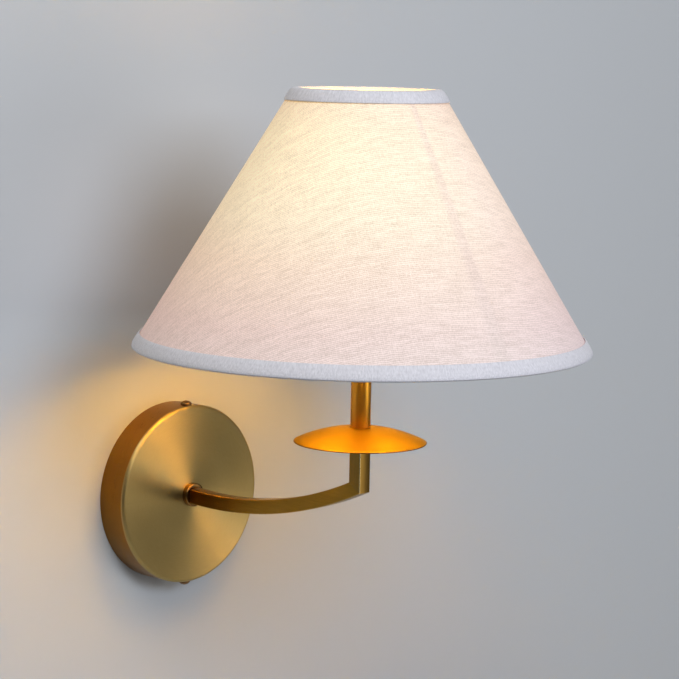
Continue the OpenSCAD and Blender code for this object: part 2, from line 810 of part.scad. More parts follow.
// Four light strips that stand round the glass post
module bulb_filaments() {
  color("#f4c542") on_bulb(bulb_cap_h + filament_up) for (i = [0:3]) rotate([0, 0, 45 + 90 * i])
    translate([filament_out, 0, 0]) rotate([0, filament_lean, 0])
      cylinder(d = filament_d, h = filament_l, $fn = 24);
}

// ---------- Shade ----------

module on_shade(up = 0) {
  on_lamp(shade_foot + up) children();
}

// Half profile of a conical wall between two depths under the cloth's face and two heights
module cone_wall(outer, inner, low, high) {
  polygon([[shade_r(low, outer), low], [shade_r(high, outer), high],
    [shade_r(high, inner), high], [shade_r(low, inner), low]]);
}

// Flat ring that sits on the lampholder's flange
module fitter_ring() {
  color("white") on_lamp(fitter_under) ring(fitter_d, shade_thread_d + 2 * loose_gap, fitter_t);
}

// Rods that run from the fitter ring down to the middle of the bottom wire
module spoke_rods(d) {
  fall = shade_recess - wire_rise;
  span = bottom_wire_r - fitter_d / 2;
  for (i = [0:spokes - 1]) on_shade(shade_recess) rotate([0, 0, 90 + 360 * i / spokes])
    translate([fitter_d / 2, 0, 0]) rotate([0, 90 + atan(fall / span), 0]) translate([0, 0, -wire_d])
      cylinder(d = d, h = wire_d + norm([fall, span]), $fn = 32);
}

// Straight wires welded between the fitter ring and the bottom wire
module shade_spokes() {
  color("white") difference() {
    spoke_rods(wire_d);
    on_lamp(fitter_under - wire_d) cylinder(d = fitter_d, h = fitter_t + 2 * wire_d);
    on_shade(wire_rise) rotate_extrude() translate([bottom_wire_r, 0])
      circle(d = wire_d, $fn = 32);
  }
}

module bottom_wire() {
  color("white") on_shade(wire_rise) rotate_extrude() translate([bottom_wire_r, 0])
    circle(d = wire_d, $fn = 32);
}

module top_wire() {
  color("white") on_shade(shade_h - wire_rise) rotate_extrude() translate([top_wire_r, 0])
    circle(d = wire_d, $fn = 32);
}

// Stiff translucent sheet that the cloth is glued to
module shade_liner() {
  color("white") on_shade() rotate_extrude($fn = 180) cone_wall(liner_out, liner_in, 0, shade_h);
}

// Linen cone, with its free edge lapped over the other
module shade_cloth() {
  lap_low = bottom_trim_h + loose_gap;
  lap_high = shade_h - top_trim_h - loose_gap;
  color(cloth) on_shade() {
    rotate_extrude($fn = 180) cone_wall(0, cloth_t, 0, shade_h);
    intersection() {
      rotate_extrude($fn = 180) cone_wall(-cloth_t, cloth_t / 2, lap_low, lap_high);
      rotate([0, 0, seam_angle]) linear_extrude(shade_h)
        polygon([[0, 0], [shade_bottom_d, -seam_w], [shade_bottom_d, seam_w]]);
    }
  }
}

// Tape folded round the bottom edge and the wire, notched where the spokes pass
module bottom_trim() {
  in_high = 2 * wire_rise;
  under = trim_t + glue_gap;
  color(tape) difference() {
    on_shade() rotate_extrude($fn = 180) {
      cone_wall(-trim_t, -glue_gap, -under, bottom_trim_h);
      cone_wall(-trim_t, wire_in + under, -under, -glue_gap);
      cone_wall(wire_in + glue_gap, wire_in + under, -under, in_high);
    }
    spoke_rods(wire_d + 2 * loose_gap);
  }
}

// Tape folded round the top edge and the wire
module top_trim() {
  in_low = shade_h - 2 * wire_rise;
  over = trim_t + glue_gap;
  color(tape) on_shade() rotate_extrude($fn = 180) {
    cone_wall(-trim_t, -glue_gap, shade_h - top_trim_h, shade_h + over);
    cone_wall(-trim_t, wire_in + over, shade_h + glue_gap, shade_h + over);
    cone_wall(wire_in + glue_gap, wire_in + over, in_low, shade_h + over);
  }
}

crossbar();
crossbar_ears();
canopy();
canopy_screws();
earth_screw();
earth_washer();
stiffening_plate();
stop_pins();
arm_collar();
spring_washer();
stop_washer();
lock_nut();
arm_tube();
post_tube();
stem_stud();
disc_washer();
drip_disc();
stem_tube();
holder_cap();
holder_nut();
contact_block();
screw_contact();
centre_contact();
terminal_screws();
holder_skirt();
shade_ring_nut();
live_lead();
neutral_lead();
wire_connectors();
bulb_cap();
bulb_insulator();
bulb_tip();
bulb_glass();
bulb_stem();
bulb_filaments();
fitter_ring();
shade_spokes();
bottom_wire();
top_wire();
shade_liner();
shade_cloth();
bottom_trim();
top_trim();
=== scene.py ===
"""Wall sconce: the looks of a brass arm, a domed disc and a lit linen shade, around the frame.
The origin is on the wall at the canopy's centre, -Y points out of the wall and Z is up."""

import json
import math

import bmesh
import bpy
from mathutils import Matrix, Vector

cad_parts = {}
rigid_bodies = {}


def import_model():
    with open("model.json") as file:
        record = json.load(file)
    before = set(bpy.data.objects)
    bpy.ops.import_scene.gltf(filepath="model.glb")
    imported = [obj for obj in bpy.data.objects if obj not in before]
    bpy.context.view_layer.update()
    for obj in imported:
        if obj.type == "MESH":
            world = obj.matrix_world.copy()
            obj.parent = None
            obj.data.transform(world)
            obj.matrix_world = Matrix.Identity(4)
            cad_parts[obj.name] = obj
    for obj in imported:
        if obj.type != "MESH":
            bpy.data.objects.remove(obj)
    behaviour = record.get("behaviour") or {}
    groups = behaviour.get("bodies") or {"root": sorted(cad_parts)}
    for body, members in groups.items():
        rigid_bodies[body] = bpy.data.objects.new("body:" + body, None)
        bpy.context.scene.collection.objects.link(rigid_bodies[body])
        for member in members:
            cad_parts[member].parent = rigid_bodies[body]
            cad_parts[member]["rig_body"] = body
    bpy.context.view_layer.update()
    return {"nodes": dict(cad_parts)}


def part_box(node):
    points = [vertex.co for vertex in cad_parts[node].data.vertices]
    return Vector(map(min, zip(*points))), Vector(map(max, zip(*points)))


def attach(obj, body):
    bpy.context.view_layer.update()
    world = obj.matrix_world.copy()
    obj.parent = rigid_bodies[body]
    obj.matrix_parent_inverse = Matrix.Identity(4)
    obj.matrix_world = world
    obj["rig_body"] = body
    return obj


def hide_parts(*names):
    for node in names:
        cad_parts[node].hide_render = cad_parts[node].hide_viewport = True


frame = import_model()
nodes = frame["nodes"]
mm = 0.001

# ---------- Crossbar, earth point and stiffening plate ----------
# A slotted steel strip is screwed to the wall and carries the canopy on its two bent ears. It is
# pressed from zinc-plated sheet, as are the disc and the pins behind the canopy's face.


def feed(tree, node, sockets):
    """Links or sets a node's sockets."""
    for key, value in sockets.items():
        if isinstance(value, bpy.types.NodeSocket):
            tree.links.new(value, node.inputs[key])
        else:
            node.inputs[key].default_value = value


def add(tree, kind, sockets=None, **settings):
    """Adds a shader node, with its settings and its sockets."""
    made = tree.nodes.new("ShaderNode" + kind)
    for name, value in settings.items():
        setattr(made, name, value)
    feed(tree, made, sockets or {})
    return made


def maths(tree, operation, *values):
    """Works out a number from others."""
    return add(tree, "Math", dict(enumerate(values)), operation=operation).outputs[0]


def mapped(tree, value, low, high, to_low=0.0, to_high=1.0, curve="LINEAR"):
    """Stretches a number from one range to another and holds it inside."""
    return add(tree, "MapRange", {"Value": value, "From Min": low, "From Max": high,
                                  "To Min": to_low, "To Max": to_high},
               interpolation_type=curve).outputs[0]


def blend(tree, share, first, second, **settings):
    """Goes from the first colour to the second as the share rises."""
    return add(tree, "Mix", {0: share, 6: first, 7: second}, data_type="RGBA",
               **settings).outputs[2]


def effect(name, inputs, outputs):
    """Starts a node group, and returns its tree, what it is given and its output node."""
    tree = bpy.data.node_groups.new(name, "ShaderNodeTree")
    for label, (kind, value) in inputs.items():
        socket = tree.interface.new_socket(label, in_out="INPUT", socket_type="NodeSocket" + kind)
        if value is not None:
            socket.default_value = value
    for label, kind in outputs.items():
        tree.interface.new_socket(label, in_out="OUTPUT", socket_type="NodeSocket" + kind)
    return tree, tree.nodes.new("NodeGroupInput").outputs, tree.nodes.new("NodeGroupOutput")


def grained_surface():
    """Fine grain in the colour, roughness and height, with broad soft patches over it."""
    tree, given, result = effect(
        "grained surface",
        {
            "Vector": ("Vector", None),
            "Light": ("Color", (0.6, 0.6, 0.6, 1)),
            "Dark": ("Color", (0.4, 0.4, 0.4, 1)),
            "Grain": ("Float", 1.0),
            "Patches": ("Float", 0.02),
            "Roughness": ("Float", 0.4),
            "Spread": ("Float", 0.1),
            "Depth": ("Float", 0.02 * mm),
        },
        {"Color": "Color", "Roughness": "Float", "Normal": "Vector"},
    )
    fine = add(tree, "TexNoise", {"Vector": given["Vector"], "Scale": given["Grain"],
                                  "Detail": 3.0, "Roughness": 0.6}).outputs["Fac"]
    broad = add(tree, "TexNoise", {"Vector": given["Vector"], "Scale": given["Patches"],
                                   "Detail": 2.0}).outputs["Fac"]
    tone = mapped(tree, maths(tree, "ADD", fine, broad), 0.7, 1.3)
    uneven = maths(tree, "SUBTRACT", tone, 0.5)
    bump = add(tree, "Bump", {"Height": fine, "Distance": given["Depth"]})
    feed(tree, result, {
        "Color": blend(tree, tone, given["Dark"], given["Light"]),
        "Roughness": maths(tree, "MULTIPLY_ADD", uneven, given["Spread"], given["Roughness"]),
        "Normal": bump.outputs[0],
    })
    return tree


def material(name, sockets):
    """A new material, its node tree and its shader, which gets these values."""
    made = bpy.data.materials.new(name)
    made.use_nodes = True
    shader = made.node_tree.nodes["Principled BSDF"]
    feed(made.node_tree, shader, sockets)
    return made, made.node_tree, shader


def grained(name, light, dark, roughness, grain, patches, stretch=(1, 1, 1), spread=0.1,
            depth=0.02 * mm, metallic=0.0, wear_and_highlight=None, painted_shade=None):
    """A material with the grained surface. The grain and the patches are so many to the metre,
    and stretched along the axes. The piece's eased edges can get a brighter tint, partly rubbed
    wear and partly a painted highlight, and it can get a painted shade, a darker tint from one
    place along Y to the next."""
    made, tree, shader = material(name, {"Metallic": metallic})
    place = add(tree, "TexCoord").outputs["Object"]
    pulled = add(tree, "Mapping", {"Vector": place, "Scale": stretch}).outputs[0]
    surface = add(tree, "Group", {
        "Vector": pulled, "Light": (*light, 1), "Dark": (*dark, 1), "Grain": grain,
        "Patches": patches, "Roughness": roughness, "Spread": spread, "Depth": depth,
    }, node_tree=grain_group).outputs
    colour, rough = surface["Color"], surface["Roughness"]
    if painted_shade:
        start, end, tint = painted_shade
        along = add(tree, "SeparateXYZ", {0: place}).outputs[1]
        near = mapped(tree, along, start, end, curve="SMOOTHSTEP")
        colour = blend(tree, near, colour, (*tint, 1), blend_type="MULTIPLY")
    if wear_and_highlight:
        edge = add(tree, "Attribute", attribute_name="edge").outputs["Fac"]
        colour = blend(tree, edge, colour, (*wear_and_highlight, 1))
        rough = maths(tree, "MULTIPLY_ADD", edge, -0.1, rough)
    feed(tree, shader, {"Base Color": colour, "Roughness": rough, "Normal": surface["Normal"]})
    return made


def dress(piece, finish):
    """Gives a piece its only material."""
    piece.data.materials.clear()
    piece.data.materials.append(finish)


def dress_nodes(names, finish):
    """Gives CAD nodes their only material."""
    for name in names:
        dress(nodes[name], finish)


grain_group = grained_surface()
zinc = grained("zinc plate", (0.62, 0.63, 0.64), (0.42, 0.43, 0.45), 0.38, 900, 60,
               stretch=(1, 1, 0.08), spread=0.16, metallic=1.0)
dress_nodes(["crossbar", "crossbar_ears", "stiffening_plate", "stop_pins", "earth_washer"], zinc)
earth_green = grained("green passivated steel", (0.16, 0.34, 0.12), (0.09, 0.22, 0.07), 0.35, 700,
                      120, spread=0.12, metallic=0.7)
dress_nodes(["earth_screw"], earth_green)

# ---------- Canopy ----------
# A shallow cup spun from brass sheet. Its face was turned, which leaves fine circles round the
# middle, and it was lacquered satin. Its rim is painted browner and darker than its face, as
# painted shade.


def vectors(tree, operation, *values, result="Vector"):
    """Works out a vector, or a number as the result, from vectors."""
    return add(tree, "VectorMath", dict(enumerate(values)), operation=operation).outputs[result]


def turned(name, light, dark, roughness, axis, centre, pitch=0.25 * mm, anisotropic=0.0,
           painted_shade=None, polished=None, wear_and_highlight=None):
    """Metal turned on a lathe about an axis, Y or Z, with rings a pitch apart and a little
    streaking across them. From one place along the axis to the next it can get a painted shade,
    a darker tint, or be polished smoother. The piece's eased edges can get a brighter tint, partly
    rubbed wear and partly a painted highlight."""
    made, tree, shader = material(name, {"Metallic": 1.0, "Anisotropic": anisotropic,
                                         "Anisotropic Rotation": 0.25})
    place = add(tree, "TexCoord").outputs["Object"]
    centred = add(tree, "Mapping", {"Vector": place, "Location": [-c for c in centre]}).outputs[0]
    upright = (math.pi / 2, 0, 0) if axis == "Y" else (0, 0, 0)
    stood = add(tree, "Mapping", {"Vector": centred, "Rotation": upright}).outputs[0]
    parts = add(tree, "SeparateXYZ", {0: stood}).outputs
    flat = add(tree, "CombineXYZ", {0: parts[0], 1: parts[1]}).outputs[0]
    radius = vectors(tree, "LENGTH", flat, result="Value")
    around = maths(tree, "ARCTAN2", parts[1], parts[0])
    streak = maths(tree, "MULTIPLY", around, 2 * mm)
    rings = add(tree, "CombineXYZ", {0: radius, 1: streak, 2: parts[2]}).outputs[0]
    surface = add(tree, "Group", {
        "Vector": rings, "Light": (*light, 1), "Dark": (*dark, 1), "Grain": 1 / pitch,
        "Patches": 30, "Roughness": roughness, "Spread": 0.08, "Depth": 0.004 * mm,
    }, node_tree=grain_group).outputs
    colour, rough = surface["Color"], surface["Roughness"]
    if wear_and_highlight:
        edge = add(tree, "Attribute", attribute_name="edge").outputs["Fac"]
        colour = blend(tree, edge, colour, (*wear_and_highlight, 1))
    if painted_shade:
        start, end, tint = painted_shade
        past = mapped(tree, parts[2], start, end, curve="SMOOTHSTEP")
        colour = blend(tree, past, colour, (*tint, 1), blend_type="MULTIPLY")
    if polished:
        start, end, smoother = polished
        polish = mapped(tree, parts[2], start, end, curve="SMOOTHSTEP")
        rough = maths(tree, "MULTIPLY_ADD", polish, -smoother, rough)
    feed(tree, shader, {"Base Color": colour, "Roughness": rough, "Normal": surface["Normal"]})
    if anisotropic:
        groove = add(tree, "Tangent", direction_type="RADIAL", axis=axis)
        feed(tree, shader, {"Tangent": groove.outputs[0]})
    return made


canopy_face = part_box("canopy")[0].y
canopy_bend = canopy_face + 1.8 * mm  # where the rounded edge ends
# The rim's browner, darker tint is painted shade.
canopy_brass = turned("turned canopy brass", (0.475, 0.345, 0.135), (0.39, 0.28, 0.10), 0.43,
                      "Y", (0, 0, 0), anisotropic=0.8,
                      painted_shade=(canopy_bend, canopy_bend + 1 * mm, (0.66, 0.42, 0.17)),
                      polished=(canopy_face + 1 * mm, canopy_bend, 0.13))
dress_nodes(["canopy"], canopy_brass)

# ---------- Canopy screws ----------
# Two slotted brass screws, one in the top of the rim and one in the bottom, hold the canopy on
# the crossbar's ears. Their heads are turned and darkened.


def formed(name, bm):
    """A new object from a mesh that is ready."""
    mesh = bpy.data.meshes.new(name)
    bm.to_mesh(mesh)
    bm.free()
    made = bpy.data.objects.new(name, mesh)
    bpy.context.scene.collection.objects.link(made)
    return made


def eased(node, radius, segments=2, mitred=False):
    """A copy of a CAD node with its sharp edges rounded and marked, but for a mitre that is
    brazed shut."""
    sharp = math.radians(35)
    mitre = (0.5, 0.87)  # how far a mitre's faces point up or down
    bm = bmesh.new()
    bm.from_mesh(nodes[node].data)
    bmesh.ops.remove_doubles(bm, verts=bm.verts, dist=0.002 * mm)
    bmesh.ops.dissolve_limit(bm, angle_limit=math.radians(0.2), verts=bm.verts, edges=bm.edges)
    marked = bm.loops.layers.float.new("edge")
    edges = [e for e in bm.edges if len(e.link_faces) == 2 and e.calc_face_angle() > sharp]
    if mitred:
        edges = [e for e in edges
                 if not any(mitre[0] < abs(f.normal.z) < mitre[1] for f in e.link_faces)]
    rounded = bmesh.ops.bevel(bm, geom=edges, offset=radius, affect="EDGES", segments=segments,
                              profile=0.5, material=-1, clamp_overlap=True)["faces"]
    for face in rounded:
        for loop in face.loops:
            loop[marked] = 1.0
    piece = formed(node + "_eased", bm)
    piece.data.shade_smooth()
    piece.data.set_sharp_from_angle(angle=sharp)
    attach(piece, nodes[node]["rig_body"])
    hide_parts(node)
    return piece


turned_edge = 0.12 * mm
screw_low, screw_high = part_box("canopy_screws")
screw_brass = turned("darkened screw brass", (0.30, 0.17, 0.07), (0.20, 0.11, 0.045), 0.34,
                     "Z", (0, (screw_low.y + screw_high.y) / 2, 0))
dress(eased("canopy_screws", turned_edge), screw_brass)

# ---------- Collar and swivel ----------
# The arm's round collar is turned from brass bar, with a hollow threaded tail. A spring washer, a
# keyed washer and a nut of plated steel hold the tail in the canopy, so that it turns stiffly.

# The collar's eased edges get a brighter tint: partly rubbed wear, partly a painted highlight.
collar_brass = turned("turned collar brass", (0.32, 0.17, 0.055), (0.23, 0.12, 0.035), 0.24,
                      "Y", (0, 0, 0), wear_and_highlight=(0.80, 0.60, 0.36))
dress(eased("arm_collar", turned_edge), collar_brass)
dress_nodes(["spring_washer", "stop_washer", "lock_nut"], zinc)

# ---------- Arm and post ----------
# Square brass tube, rolled to a long upward curve and brazed into the collar. The post is a
# straight length of the same tube, mitred and brazed to the arm's end, and both are brushed
# along their length and lacquered satin. The arm is painted a little darker towards the wall,
# as painted shade, and the eased edges of both get a brighter tint, partly rubbed wear and
# partly a painted highlight.

bar_edge = 0.45 * mm
stud_edge = 0.2 * mm
# The arm's darker tint towards the wall is painted shade; the brighter tint on the eased edges of
# arm and post is partly rubbed wear, partly a painted highlight.
arm_brass = grained("brass brushed along the arm", (0.32, 0.18, 0.026), (0.23, 0.125, 0.015), 0.34,
                    2200, 25, stretch=(1, 0.03, 1), depth=0.006 * mm, metallic=1.0,
                    wear_and_highlight=(0.50, 0.30, 0.07), painted_shade=(-95 * mm, -25 * mm, (0.72, 0.56, 0.42)))
post_brass = grained("brass brushed along the post", (0.265, 0.155, 0.034), (0.19, 0.11, 0.021),
                     0.34, 2200, 25, stretch=(1, 1, 0.03), depth=0.006 * mm, metallic=1.0,
                     wear_and_highlight=(0.75, 0.60, 0.30))
dress(eased("arm_tube", bar_edge, 3, mitred=True), arm_brass)
dress(eased("post_tube", bar_edge, 3, mitred=True), post_brass)
dress(eased("stem_stud", stud_edge), post_brass)

# ---------- Drip disc and its washer ----------
# The disc is spun from thin brass sheet to a shallow dome with a short straight lip, which is
# painted darker, as painted shade. It is clamped between a steel washer below and the stem tube
# above.

lamp = Vector((0, (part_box("stem_tube")[0].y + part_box("stem_tube")[1].y) / 2, 0))
disc_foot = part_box("drip_disc")[0].z
# The darker tint on the lip is painted shade; the brighter tint on the eased edges is partly
# rubbed wear, partly a painted highlight.
disc_brass = turned("spun disc brass", (0.36, 0.21, 0.02), (0.315, 0.18, 0.015), 0.46, "Z", lamp,
                    pitch=0.4 * mm, wear_and_highlight=(0.62, 0.42, 0.10),
                    painted_shade=(disc_foot + 0.8 * mm, disc_foot + 0.4 * mm, (0.22, 0.12, 0.2)))
feed(disc_brass.node_tree, disc_brass.node_tree.nodes["Principled BSDF"],
     {"Specular Tint": (1.0, 0.8, 0.45, 1)})
dress(eased("drip_disc", turned_edge), disc_brass)
dress_nodes(["disc_washer"], zinc)

# ---------- Stem tube ----------
# Drawn round brass tube between the disc and the lampholder. It is brushed along its length, and
# its ends are cut square and lightly eased.

stem_edge = 0.15 * mm
stem_brass = grained("drawn stem brass", (0.62, 0.32, 0.035), (0.54, 0.26, 0.025), 0.36, 2600, 20,
                     stretch=(1, 1, 0.02), spread=0.08, depth=0.005 * mm, metallic=0.92)
dress(eased("stem_tube", stem_edge), stem_brass)

# ---------- Lampholder ----------
# A moulded black lampholder in two halves, screwed on the stud. A glazed block inside carries the
# brass contacts, and a notched ring nut on the coarse outer thread holds the shade down.

black_moulding = grained("black moulding", (0.045, 0.043, 0.041), (0.026, 0.025, 0.024), 0.42,
                         1800, 40, spread=0.14, depth=0.01 * mm)
dress_nodes(["holder_cap", "holder_skirt", "shade_ring_nut"], black_moulding)
glaze = grained("white glaze", (0.84, 0.82, 0.77), (0.76, 0.73, 0.68), 0.16, 500, 60, spread=0.06)
dress_nodes(["contact_block"], glaze)
contact_brass = grained("rolled contact brass", (0.72, 0.56, 0.28), (0.60, 0.45, 0.21), 0.30,
                        1200, 60, stretch=(1, 1, 0.1), metallic=1.0)
dress_nodes(["screw_contact", "centre_contact"], contact_brass)
dress_nodes(["terminal_screws"], screw_brass)
dress_nodes(["holder_nut"], zinc)

# ---------- Leads and connectors ----------
# Two insulated copper leads run from the connectors in the canopy through the tail, the arm and
# the post to the terminals. The connectors are moulded caps that screw on over the joints.

live_jacket = grained("brown insulation", (0.20, 0.09, 0.045), (0.14, 0.06, 0.03), 0.40, 1500, 60)
neutral_jacket = grained("blue insulation", (0.05, 0.15, 0.36), (0.03, 0.10, 0.27), 0.40, 1500, 60)
cap_amber = grained("amber moulding", (0.72, 0.42, 0.09), (0.60, 0.33, 0.06), 0.34, 900, 50)
dress_nodes(["live_lead"], live_jacket)
dress_nodes(["neutral_lead"], neutral_jacket)
dress_nodes(["wire_connectors"], cap_amber)

# ---------- Bulb ----------
# An opal glass bulb with a rolled brass cap, lit. Light strips stand on a glass post inside it,
# behind the opal coat.

bulb_low, bulb_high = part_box("bulb_glass")
bulb_stops = {0.0: (0.35, 0.16, 0.03), 0.3: (1.0, 0.53, 0.065)}
bulb_power = 41.0


def ramp(tree, value, stops):
    """A colour ramp with the given stops."""
    made = add(tree, "ValToRGB", {0: value})
    while len(made.color_ramp.elements) < len(stops):
        made.color_ramp.elements.new(0.5)
    for element, (position, colour) in zip(made.color_ramp.elements, sorted(stops.items())):
        element.position = position
        element.color = (*colour, 1)
    return made.outputs["Color"]


def lit_opal(name):
    """Opal glass that glows, dimmer where the neck shades it."""
    made, tree, shader = material(name, {"Emission Strength": bulb_power, "Roughness": 0.2})
    place = add(tree, "TexCoord").outputs["Object"]
    height = add(tree, "SeparateXYZ", {0: place}).outputs[2]
    rise = mapped(tree, height, bulb_low.z, bulb_high.z)
    cloud = add(tree, "TexNoise", {"Vector": place, "Scale": 60.0}).outputs["Fac"]
    feed(tree, shader, {
        "Emission Color": ramp(tree, rise, bulb_stops),
        "Base Color": blend(tree, cloud, (0.90, 0.88, 0.84, 1), (0.96, 0.95, 0.92, 1)),
    })
    return made


dress_nodes(["bulb_glass"], lit_opal("lit opal glass"))
dress_nodes(["bulb_cap"], contact_brass)
dress_nodes(["bulb_insulator"], black_moulding)
dress_nodes(["bulb_tip"], zinc)
clear_post = grained("glass post", (0.88, 0.90, 0.90), (0.80, 0.83, 0.83), 0.12, 400, 60,
                     spread=0.05)
strip_coat = grained("yellow strip coat", (0.90, 0.62, 0.14), (0.80, 0.52, 0.10), 0.50, 2500, 90)
dress_nodes(["bulb_stem"], clear_post)
dress_nodes(["bulb_filaments"], strip_coat)

# ---------- Shade frame ----------
# Round steel wire, bent and spot-welded: a ring at each edge, three straight spokes and a flat
# fitter ring that sits on the lampholder. It is dipped in white enamel.

white_enamel = grained("white enamel", (0.80, 0.79, 0.76), (0.70, 0.69, 0.66), 0.32, 900, 50)
dress_nodes(["fitter_ring", "shade_spokes", "bottom_wire", "top_wire"], white_enamel)

# ---------- Shade liner ----------
# A stiff white sheet, cut as part of a ring and rolled into a cone, which the linen is glued to.
# It lets the bulb's light through evenly.

liner_sheet = grained("white liner sheet", (0.88, 0.86, 0.81), (0.80, 0.78, 0.73), 0.55, 300, 20)
dress_nodes(["shade_liner"], liner_sheet)

# ---------- Linen cover ----------
# Plain-woven natural linen, cut as part of a ring, rolled round the liner and lapped by 9 mm. The
# lit bulb's light through it is a painted glow in the cloth's emission, painted dimmer over the
# lap, where the cloth lies double.

shade_low, shade_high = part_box("shade_cloth")
bottom_r = (shade_high.x - shade_low.x) / 2
top_r = 46 * mm
shade_h = shade_high.z - shade_low.z
slope = (bottom_r - top_r) / shade_h
slant = math.sqrt(1 + slope * slope)
apex = bottom_r / slope * slant  # down the slope from the cone's point to the bottom edge
turn_share = slope / slant  # how much of a full turn the flat cut spans
cloth_thick = 0.5 * mm
lap = 9 * mm  # at the bottom edge; it narrows upwards with the cone
lap_turn = lap / bottom_r
lap_angle, lap_lean = math.radians(-99.9), math.radians(4.6)
steps_round, steps_up = 288, 30
# How far the cloth's middle lies out from its outer face, and steps out over the lap, and how
# far the lap's free edge is pressed back in, all in thicknesses of the cloth
laid, stepped, pressed_in = -0.72, 0.5, 0.22


def rolled(point):
    """Where a point of the grid lies on the cone: its angle, its height, and how far past the
    middle of the lap it is, in laps."""
    round_share, up_share = point.x / 2 + 0.5, point.y / 2 + 0.5
    start = lap_angle - lap_lean * up_share ** 3
    angle = start + round_share * (2 * math.pi + lap_turn) - 0.5 * lap_turn
    return angle, up_share * shade_h, (angle - start - 2 * math.pi) / lap_turn


def held(value):
    """A number held between 0 and 1."""
    return min(1, max(0, value))


bm = bmesh.new()
bmesh.ops.create_grid(bm, x_segments=steps_round, y_segments=steps_up, size=1)
flat_cut = bm.loops.layers.uv.new("flat cut")
double = bm.verts.layers.float.new("double")
bm.verts.index_update()
pressed = []  # the points of the lap's free edge
for face in bm.faces:
    for loop in face.loops:
        angle, height, past = rolled(loop.vert.co)
        reach = apex - height * slant
        bend = (angle - lap_angle) * turn_share
        loop[flat_cut].uv = (reach * math.cos(bend), reach * math.sin(bend))
for vert in bm.verts:
    angle, height, past = rolled(vert.co)
    across = min(abs(past), abs(past + 2 * math.pi / lap_turn))
    vert[double] = held(1.8 - 2 * across)
    free_edge = past > 0.49
    if free_edge:
        pressed.append(vert.index)
    out = cloth_thick * (laid + stepped * held(past * 2 + 2) - pressed_in * free_edge)
    radius = bottom_r - slope * height + out
    vert.co = (lamp.x + radius * math.cos(angle), lamp.y + radius * math.sin(angle),
               shade_low.z + height)
bmesh.ops.recalc_face_normals(bm, faces=bm.faces)
linen_cover = formed("linen_cover", bm)
linen_cover.data.shade_smooth()
linen_cover.vertex_groups.new(name="pressed edge").add(pressed, 1.0, "REPLACE")
thick = linen_cover.modifiers.new("cloth", "SOLIDIFY")
thick.thickness = cloth_thick * 0.48
thick.offset = 0
thick.vertex_group, thick.invert_vertex_group = "pressed edge", True
thick.thickness_vertex_group = 0.1
even = linen_cover.modifiers.new("even shading", "WEIGHTED_NORMAL")
even.weight = 90


def scaled(tree, vector, factor):
    """A vector times a number."""
    return add(tree, "VectorMath", {0: vector, "Scale": factor}, operation="SCALE").outputs[0]


def plain_weave():
    """Threads that pass over and under each other, each lighter and darker along its length."""
    tree, given, result = effect(
        "plain weave",
        {
            "Vector": ("Vector", None),
            "Pitch": ("Float", 1.3 * mm),
            "Slub length": ("Float", 14 * mm),
        },
        {"Thread": "Float", "Streak": "Float", "Speck": "Float"},
    )
    wander = 2.2  # how far threads stray, in pitches
    row_step = 3.7  # how far apart the noise of two threads is
    crossover = 0.15  # how gradually one thread passes under another
    wobble = add(tree, "TexNoise", {"Vector": given["Vector"], "Scale": 70.0, "Detail": 3.0,
                                    "Roughness": 0.65}).outputs["Color"]
    drift = vectors(tree, "SUBTRACT", wobble, (0.5, 0.5, 0.5))
    shake = scaled(tree, drift, maths(tree, "MULTIPLY", given["Pitch"], wander))
    moved = vectors(tree, "ADD", given["Vector"], shake)
    count = scaled(tree, moved, maths(tree, "DIVIDE", 1.0, given["Pitch"]))
    slow_count = scaled(tree, moved, maths(tree, "DIVIDE", 1.0, given["Slub length"]))
    parts = add(tree, "SeparateXYZ", {0: count}).outputs
    slow = add(tree, "SeparateXYZ", {0: slow_count}).outputs
    waves, ridges, streaks = [], [], []
    for across, along in ((0, 1), (1, 0)):
        wave = maths(tree, "SINE", maths(tree, "MULTIPLY", parts[across], math.pi))
        waves.append(wave)
        ridges.append(maths(tree, "ABSOLUTE", wave))
        row = maths(tree, "MULTIPLY", maths(tree, "FLOOR", parts[across]), row_step)
        thread = add(tree, "CombineXYZ", {0: slow[along], 1: row}).outputs[0]
        streaks.append(add(tree, "TexNoise", {"Vector": thread, "Scale": 1.0,
                                              "Detail": 1.0}).outputs["Fac"])
    over = mapped(tree, maths(tree, "MULTIPLY", *waves), -crossover, crossover, to_high=0.45,
                  curve="SMOOTHSTEP")
    for label, (first, second) in {"Thread": ridges, "Streak": streaks}.items():
        top = add(tree, "Mix", {0: over, 2: first, 3: second}, data_type="FLOAT")
        feed(tree, result, {label: top.outputs[0]})
    speck = add(tree, "TexNoise", {"Vector": count, "Scale": 0.95, "Detail": 2.0})
    feed(tree, result, {"Speck": speck.outputs["Fac"]})
    return tree


def woven(tree, cut, pitch, slub_length):
    """The plain weave in a material, laid on one of the piece's flat cuts."""
    flat = add(tree, "UVMap", uv_map=cut).outputs[0]
    return add(tree, "Group", {"Vector": flat, "Pitch": pitch, "Slub length": slub_length},
               node_tree=weave_group).outputs


weave_group = plain_weave()
thread_pitch, slub_length = 1.2 * mm, 14 * mm
# The painted glow that stands for the light through the cloth, from its bottom edge to its top
glow_stops = {0.0: (0.14, 0.05, 0.045), 0.15: (0.20, 0.07, 0.04), 0.38: (0.30, 0.16, 0.05),
              0.54: (0.355, 0.245, 0.08), 0.69: (0.395, 0.285, 0.09), 0.85: (0.385, 0.27, 0.07),
              1.0: (0.355, 0.20, 0.035)}
# How much of the painted glow shows on the sides that face away from the brightest side, then on
# that side, and on the side towards the wall: a painted highlight that turns with the shade, and
# painted light for what the wall throws back
bright_turn = math.radians(-169)
side_stops = {0.0: (0.79, 0.635, 1.0), 0.5: (0.79, 0.70, 0.66), 0.8: (0.86, 0.80, 0.77),
              1.0: (0.96, 0.93, 0.95)}
wall_side = (0.97, 0.88, 0.80, 1)
# How much of the painted glow shows where the cloth lies single, and where it lies double
single_pass, double_pass = (1.2, 1.2, 1.2, 1), (0.98, 0.77, 0.55, 1)


